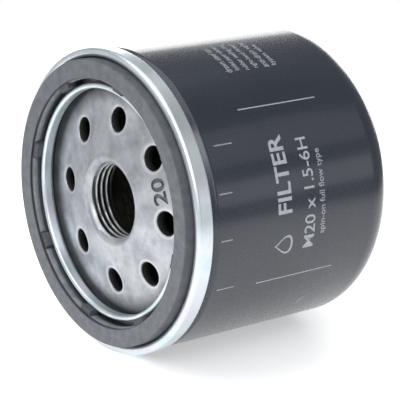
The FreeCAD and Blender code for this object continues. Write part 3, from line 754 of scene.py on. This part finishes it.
printing = {
    "proud": 0.03, "ridge": 0.7,  # ridge is the widest step between cuts, so that the ink follows the curve
    "lines": [  # words, first and last angle, depth of the letters' tops and feet, boldness
        ("FILTER", 2.0, 31.0, 26.0, 30.2, 0.02),
        ("M20 x 1.5-6H", -13.0, 28.5, 34.2, 37.4, 0.006),
        ("spin-on full flow type", -8.5, 23.4, 38.8, 41.0, 0.0),
        ("drawn steel can", 60.0, 77.0, 25.0, 26.9, 0.0),
        ("folded paper element", 60.5, 79.0, 27.8, 29.7, 0.0),
        ("rubber sealing ring", 60.0, 78.5, 30.6, 32.5, 0.0),
        ("right-hand thread", 60.5, 77.5, 33.4, 35.3, 0.0),
        ("anti-drain valve", 60.0, 78.0, 36.2, 38.1, 0.0),
        ("bypass valve", 60.5, 75.0, 39.0, 40.9, 0.0),
        ("full flow", -45.0, -40.0, 40.0, 42.0, 0.0),
    ],
    "strips": [  # angle, depth from and to, width
        (31.0, 10.7, 16.0, 0.22), (13.7, 9.2, 12.9, 0.22), (-3.3, 9.0, 12.3, 0.22), (-23.4, 10.0, 15.0, 0.22),
        (42.9, 21.4, 45.0, 0.28), (-24.5, 22.0, 45.7, 0.28),
    ],
    "drop": {"angle": -10.0, "depth": 28.0, "size": 5.6, "line": 0.5, "columns": 64},
}


def wrapOnCan(flat):
    # Lays flat ink on the can: x in mm becomes an arc round it, y up becomes a depth towards the open end, and z
    # stands out.
    radius = can["outside"]
    work = bmesh.new()
    work.from_mesh(flat)
    xs = [v.co.x for v in work.verts]
    for cut in np.arange(min(xs) + printing["ridge"] / 2, max(xs), printing["ridge"]):
        everything = work.verts[:] + work.edges[:] + work.faces[:]
        bmesh.ops.bisect_plane(work, geom=everything, plane_co=(cut, 0, 0), plane_no=(1, 0, 0), dist=1e-6)
    work.to_mesh(flat)
    work.free()
    points = pointsOf(flat)
    return setPoints(flat, onAxis(radius + points[:, 2], -points[:, 1], points[:, 0] / radius))


def movedMesh(mesh, scale, shift):
    return setPoints(mesh, pointsOf(mesh) * scale + shift)


def canPrinting():
    radius, thick = can["outside"], printing["proud"]
    parts = []
    for words, first, last, top, foot, bold in printing["lines"]:
        scale = (np.radians(last - first) * radius, foot - top, 1)
        letters = movedMesh(flatText(words, thick * 2, bold), scale, (np.radians(first) * radius, -foot, 0))
        parts.append(wrapOnCan(letters))
    for angle, top, foot, width in printing["strips"]:
        corners = np.array([
            (x, y, z) for x in (-width / 2, width / 2) for y in (-foot, -top) for z in (-thick, thick)], float)
        corners[:, 0] += np.radians(angle) * radius
        strip = bpy.data.meshes.new("strip")
        sides = [(0, 1, 3, 2), (4, 6, 7, 5), (0, 4, 5, 1), (2, 3, 7, 6), (0, 2, 6, 4), (1, 5, 7, 3)]
        strip.from_pydata(corners.tolist(), [], sides)
        parts.append(wrapOnCan(strip))
    # an oil drop in outline: round below, drawn to a point above
    d = printing["drop"]
    t = fullTurn(d["columns"])
    shape = np.stack([np.sin(t) * np.sin(t / 2) ** 1.6 * 0.62, np.cos(t) * 0.5], -1) * d["size"]
    centre = shape.mean(0)
    inner = centre + (shape - centre) * (1 - 2.2 * d["line"] / d["size"])
    rows = [np.c_[edge, np.full(len(t), z)] for edge, z in (
        (shape, -thick), (shape, thick), (inner, thick), (inner, -thick))]
    outline = bpy.data.meshes.new("drop")
    outline.from_pydata(np.concatenate(rows).tolist(), [], gridFaces(4, len(t), True, True).tolist())
    parts.append(wrapOnCan(movedMesh(outline, 1.0, (np.radians(d["angle"]) * radius, -d["depth"], 0))))
    finishMesh("can_print", welded("can_print", parts), "housing", finishes["ink"], 30)


canPrinting()
print("printing made")


springs = {
    "support": {"radius": 16.0, "wire": 0.75, "from": 53.8, "to": 62.75, "turns": 2.5},
    "bypass": {"radius": 5.7, "wire": 0.45, "from": 40.95, "to": 50.0, "turns": 4.5},
}


def coilSpring(name, s, node):
    # A round wire along a helix whose pitch eases over the first and last half turn, so that its ends lie flat.
    share = np.linspace(0, 1, int(s["turns"] * 40) + 1)
    flatShare = 0.5 / s["turns"]
    ease = np.clip((share - flatShare) / (1 - 2 * flatShare), 0, 1)
    ease = smoothStep(ease) * 0.35 + ease * 0.65
    path = onAxis(s["radius"], s["from"] + (s["to"] - s["from"]) * ease, share * s["turns"] * 2 * np.pi)
    tube = roundTube(path, s["wire"] * mm, 14)
    piece = addPiece(name, tube, gridFaces(tube.shape[0], tube.shape[1], False, True), None, "spring_steel")
    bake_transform(piece)
    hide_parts(node)


coilSpring("support_coil", springs["support"],
           "support_spring")
coilSpring("bypass_coil", springs["bypass"],
           "bypass_spring")
print("springs made")


studio = {
    "tableRadius": 0.30, "tableFade": 0.10, "tableGlow": 0.43, "tableGap": 0.00005, "room": 0.25,
    "lights": [  # name, place in metres, aimed at, width, height, radiance
        ("overheadBox", (-0.05, -0.05, 0.60), (0.0, 0.02, 0.0), 0.70, 0.70, 1.2),
        ("backWall", (-0.60, 0.52, 0.14), (0.0, 0.03, 0.0), 0.90, 0.46, 2.9),
        ("leftPanel", (-0.55, -0.50, 0.12), (0.0, 0.0, 0.0), 0.60, 0.50, 0.5),
        ("rightHigh", (0.43, 0.41, 0.37), (0.0, 0.03, 0.0), 0.25, 0.25, 0.45),
        ("rightLow", (0.55, 0.40, 0.07), (0.03, 0.03, 0.0), 0.34, 0.16, 0.9),
        ("frontFill", (0.45, -0.55, 0.45), (0.0, 0.03, 0.0), 0.50, 0.50, 3.6),
        ("sideWall", (0.48, -0.13, 0.30), (0.0, 0.0, 0.0), 0.20, 0.60, 1.8),
        ("upperFront", (-0.13, -0.42, 0.53), (0.0, 0.0, 0.0), 0.36, 0.36, 1.8),
    ],
}


def stageAndLight():
    world = bpy.data.worlds.new("studio")
    bpy.context.scene.world = world
    world.use_nodes = True
    tree = world.node_tree
    tree.nodes.clear()
    seen = addNode(tree, "ShaderNodeLightPath").outputs["Is Camera Ray"]
    room = addNode(tree, "ShaderNodeBackground", {"Color": (0.96, 0.98, 1.0, 1), "Strength": studio["room"]})
    white = addNode(tree, "ShaderNodeBackground", {"Color": (1, 1, 1, 1), "Strength": 1.0})
    both = addNode(tree, "ShaderNodeMixShader", {0: seen, 1: room.outputs[0], 2: white.outputs[0]})
    addNode(tree, "ShaderNodeOutputWorld", {"Surface": both.outputs[0]})
    for name, place, aim, width, height, radiance in studio["lights"]:
        light = bpy.data.lights.new(name, "AREA")
        light.shape, light.size, light.size_y = "RECTANGLE", width, height
        light.energy = radiance * np.pi * width * height
        lamp = bpy.data.objects.new(name, light)
        lamp.location = place
        lamp.rotation_euler = (Vector(aim) - Vector(place)).to_track_quat("-Z", "Y").to_euler()
        lamp.visible_camera = False
        bpy.context.scene.collection.objects.link(lamp)
    # white laminate table, round, fading into the backdrop past its lit middle
    material, tree, surface, place = newMaterial("whiteLaminate")
    flatness = noise(tree, place, 12, 2)
    connect(tree, surface, Base_Color=ramp(tree, flatness, (0.3, "#f1f1f1"), (0.7, "#f4f4f4")), Roughness=0.5)
    connect(tree, surface, Emission_Color=(1, 1, 1, 1), Emission_Strength=studio["tableGlow"])
    far = addNode(tree, "ShaderNodeVectorMath", {0: place}, operation="LENGTH").outputs["Value"]
    fade = addNode(tree, "ShaderNodeMapRange", {
        "Value": far, "From Min": studio["tableRadius"] - studio["tableFade"],
        "From Max": studio["tableRadius"]}).outputs[0]
    clear = addNode(tree, "ShaderNodeBsdfTransparent")
    both = addNode(tree, "ShaderNodeMixShader", {0: fade, 1: surface.outputs[0], 2: clear.outputs[0]})
    output = next(node for node in tree.nodes if node.type == "OUTPUT_MATERIAL")
    tree.links.new(both.outputs[0], output.inputs["Surface"])
    rings = np.array([0.0, 0.1, 0.2, 0.3, 0.4])
    columns = 96
    angle = fullTurn(columns)
    level = cadLow[2] - studio["tableGap"]
    spots = np.stack(np.broadcast_arrays(rings[:, None] * np.cos(angle), rings[:, None] * np.sin(angle), level), -1)
    table = bpy.data.meshes.new("table")
    faces = gridFaces(len(rings), columns, False, True)[:, ::-1]
    table.from_pydata(spots.reshape(-1, 3).tolist(), [], faces.tolist())
    table.materials.append(material)
    floor = bpy.data.objects.new("table", table)
    bpy.context.scene.collection.objects.link(floor)


view = {
    "aim": (0.001347, 0.030095, -0.003649), "azimuth": -37.106, "elevation": 15.576, "distance": 0.46298,
    "lens": 165.05,
}


def camera():
    eye = bpy.data.cameras.new("camera")
    eye.lens, eye.sensor_width = view["lens"], 36.0
    eye.clip_start, eye.clip_end = 0.01, 10.0
    a, e = np.radians(view["azimuth"]), np.radians(view["elevation"])
    back = Vector((np.cos(e) * np.cos(a), np.cos(e) * np.sin(a), np.sin(e)))
    holder = bpy.data.objects.new("camera", eye)
    holder.location = Vector(view["aim"]) + back * view["distance"]
    holder.rotation_euler = back.to_track_quat("Z", "Y").to_euler()
    bpy.context.scene.collection.objects.link(holder)
    bpy.context.scene.camera = holder


stageAndLight()
camera()
bpy.context.scene.view_settings.view_transform = "Standard"
print("stage, light and camera set")
